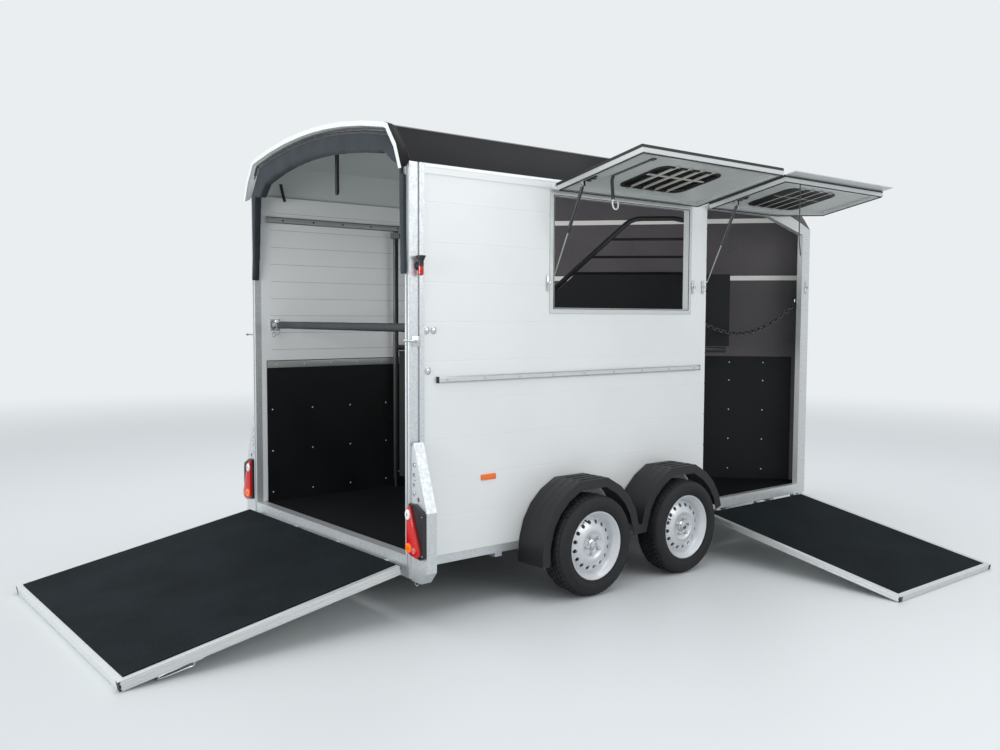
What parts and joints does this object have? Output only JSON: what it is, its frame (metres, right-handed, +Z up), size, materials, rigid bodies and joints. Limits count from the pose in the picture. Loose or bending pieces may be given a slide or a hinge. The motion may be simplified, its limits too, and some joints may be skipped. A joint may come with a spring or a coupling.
{
  "type": "horse trailer",
  "caption": "Tandem-axle slant-load horse trailer with plank body, moulded roof and nose, rear ramp, side ramp, hinged side flaps and a corner tack room.",
  "frame": {"origin": "top of the load floor on the centreline, 1.410 m ahead of the rear face of the rear posts, close to midway between the axles", "axes": "+X forward to the coupling, +Y left, +Z up; the ground is at z = -0.340 m"},
  "size_m": [6.1725, 3.4399, 2.5963],
  "materials": {
    "galvanised_steel": "hot dip galvanised",
    "extruded_aluminium": "mill finish",
    "coated_plank": "silver-white coated",
    "moulded_polyester_dark": "gloss",
    "moulded_polyester_pale": "satin gloss",
    "black_rubber": "matt",
    "tyre_rubber": "matt",
    "silver_wheel_paint": "silver",
    "black_powder_coat": "satin",
    "bright_steel": "polished",
    "black_plastic": "grained",
    "charcoal_lining": "matt with pale lines",
    "hood_fabric": "woven cover",
    "red_lens": "clear red",
    "acrylic_pane": "clear acrylic"
  },
  "bodies": {
    "trailer": {"axle_front": "galvanised_steel", "axle_rear": "galvanised_steel", "breeching_bar": "black_rubber", "chassis": "galvanised_steel", "coupling": "black_powder_coat", "door_chain": "black_powder_coat", "door_frame": "extruded_aluminium", "drawbar": "galvanised_steel", "floor": "black_rubber", "hood": "hood_fabric", "jack_tube": "galvanised_steel", "kick_mat_left": "black_rubber", "kick_mat_tack": "black_rubber", "lamp_bracket_left": "galvanised_steel", "lamp_bracket_right": "galvanised_steel", "left_wall": "coated_plank", "marker_lamp_left": "red_lens", "marker_lamp_right": "red_lens", "mudguard_left": "black_plastic", "mudguard_right": "black_plastic", "nose": "moulded_polyester_dark", "rear_frame": "galvanised_steel", "right_wall": "coated_plank", "roof": "moulded_polyester_dark", "roof_rim": "moulded_polyester_pale", "rub_rail_left": "extruded_aluminium", "rub_rail_right": "extruded_aluminium", "tack_wall": "charcoal_lining", "tail_lamp_left": "red_lens", "tail_lamp_right": "red_lens", "window_frame": "extruded_aluminium"},
    "wheel_rear_left": {"tyre_rear_left": "tyre_rubber", "rim_rear_left": "silver_wheel_paint"},
    "wheel_rear_right": {"tyre_rear_right": "tyre_rubber", "rim_rear_right": "silver_wheel_paint"},
    "wheel_front_left": {"tyre_front_left": "tyre_rubber", "rim_front_left": "silver_wheel_paint"},
    "wheel_front_right": {"tyre_front_right": "tyre_rubber", "rim_front_right": "silver_wheel_paint"},
    "rear_ramp": {"rear_ramp": "extruded_aluminium", "rear_ramp_mat": "black_rubber"},
    "side_ramp": {"side_ramp": "extruded_aluminium", "side_ramp_mat": "black_rubber"},
    "flap_rear": {"flap_rear": "extruded_aluminium", "flap_rear_window": "acrylic_pane"},
    "flap_front": {"flap_front": "extruded_aluminium", "flap_front_window": "acrylic_pane"},
    "ramp_spring_cylinder": {"ramp_spring_cylinder": "black_powder_coat"},
    "ramp_spring_rod": {"ramp_spring_rod": "bright_steel"},
    "flap_rear_strut_cylinder": {"flap_rear_strut_cylinder": "black_powder_coat"},
    "flap_rear_strut_rod": {"flap_rear_strut_rod": "bright_steel"},
    "flap_front_strut_cylinder": {"flap_front_strut_cylinder": "black_powder_coat"},
    "flap_front_strut_rod": {"flap_front_strut_rod": "bright_steel"},
    "tack_door": {"tack_door": "coated_plank"},
    "partition": {"partition_frame": "black_powder_coat", "partition_panel": "black_rubber"},
    "jack_stem": {"jack_stem": "galvanised_steel"},
    "jack_fork": {"jack_fork": "galvanised_steel"},
    "jack_wheel": {"jack_wheel": "black_rubber"}
  },
  "joints": [
    {"name": "wheel_rear_left_spin", "type": "hinge", "parent": "trailer", "child": "wheel_rear_left", "pos_m": [-0.334, 1.075, -0.057], "axis": [0, 1, 0], "continuous": true},
    {"name": "wheel_rear_right_spin", "type": "hinge", "parent": "trailer", "child": "wheel_rear_right", "pos_m": [-0.334, -1.075, -0.057], "axis": [0, 1, 0], "continuous": true},
    {"name": "wheel_front_left_spin", "type": "hinge", "parent": "trailer", "child": "wheel_front_left", "pos_m": [0.431, 1.075, -0.057], "axis": [0, 1, 0], "continuous": true},
    {"name": "wheel_front_right_spin", "type": "hinge", "parent": "trailer", "child": "wheel_front_right", "pos_m": [0.431, -1.075, -0.057], "axis": [0, 1, 0], "continuous": true},
    {"name": "rear_ramp_hinge", "type": "hinge", "parent": "trailer", "child": "rear_ramp", "pos_m": [-1.446, 0, -0.06], "axis": [0, 1, 0], "range_deg": [0, 100.6]},
    {"name": "ramp_spring_pivot", "type": "hinge", "parent": "trailer", "child": "ramp_spring_cylinder", "pos_m": [-1.5, -0.795, -0.12], "axis": [0, 1, 0], "range_deg": [0, 101.6]},
    {"name": "ramp_spring_stroke", "type": "slide", "parent": "ramp_spring_cylinder", "child": "ramp_spring_rod", "axis": [-0.9794, 0, -0.2017], "range_m": [0, 0.1242]},
    {"name": "side_ramp_hinge", "type": "hinge", "parent": "trailer", "child": "side_ramp", "pos_m": [1.425, -0.931, -0.078], "axis": [-1, 0, 0], "range_deg": [0, 100.4]},
    {"name": "flap_rear_hinge", "type": "hinge", "parent": "trailer", "child": "flap_rear", "pos_m": [0.14, -0.928, 1.915], "axis": [1, 0, 0], "range_deg": [0, 101.5]},
    {"name": "flap_rear_strut_pivot", "type": "hinge", "parent": "flap_rear", "child": "flap_rear_strut_cylinder", "pos_m": [-0.425, -1.1104, 1.9215], "axis": [1, 0, 0], "range_deg": [-124.3, 0]},
    {"name": "flap_rear_strut_stroke", "type": "slide", "parent": "flap_rear_strut_cylinder", "child": "flap_rear_strut_rod", "axis": [0, 0.4239, -0.9057], "range_m": [-0.2367, 0]},
    {"name": "flap_front_hinge", "type": "hinge", "parent": "trailer", "child": "flap_front", "pos_m": [1.42, -0.928, 1.915], "axis": [1, 0, 0], "range_deg": [0, 101.5]},
    {"name": "flap_front_strut_pivot", "type": "hinge", "parent": "flap_front", "child": "flap_front_strut_cylinder", "pos_m": [0.92, -1.1104, 1.9215], "axis": [1, 0, 0], "range_deg": [-124.3, 0]},
    {"name": "flap_front_strut_stroke", "type": "slide", "parent": "flap_front_strut_cylinder", "child": "flap_front_strut_rod", "axis": [0, 0.4239, -0.9057], "range_m": [-0.2367, 0]},
    {"name": "tack_door_hinge", "type": "hinge", "parent": "trailer", "child": "tack_door", "pos_m": [1.614, 0.914, 0.89], "axis": [0, 0, -1], "range_deg": [0, 115]},
    {"name": "partition_swing", "type": "hinge", "parent": "trailer", "child": "partition", "pos_m": [-0.38, 0.812, 0], "axis": [0, 0, 1], "range_deg": [0, 10]},
    {"name": "jack_lift", "type": "slide", "parent": "trailer", "child": "jack_stem", "axis": [0, 0, -1], "range_m": [-0.06, 0.15]},
    {"name": "jack_castor", "type": "hinge", "parent": "jack_stem", "child": "jack_fork", "pos_m": [2.89, 0.155, -0.09], "axis": [0, 0, 1], "continuous": true},
    {"name": "jack_wheel_spin", "type": "hinge", "parent": "jack_fork", "child": "jack_wheel", "pos_m": [2.845, 0.155, -0.24], "axis": [0, 1, 0], "continuous": true}
  ],
  "couplings": [
    {"joint": "ramp_spring_pivot", "follows": "rear_ramp_hinge", "ratio": 1.0089},
    {"joint": "ramp_spring_stroke", "follows": "rear_ramp_hinge", "m_per_rad": 0.0706},
    {"joint": "flap_rear_strut_pivot", "follows": "flap_rear_hinge", "ratio": -1.2223},
    {"joint": "flap_rear_strut_stroke", "follows": "flap_rear_hinge", "m_per_rad": -0.1334},
    {"joint": "flap_front_strut_pivot", "follows": "flap_front_hinge", "ratio": -1.2223},
    {"joint": "flap_front_strut_stroke", "follows": "flap_front_hinge", "m_per_rad": -0.1334}
  ]
}
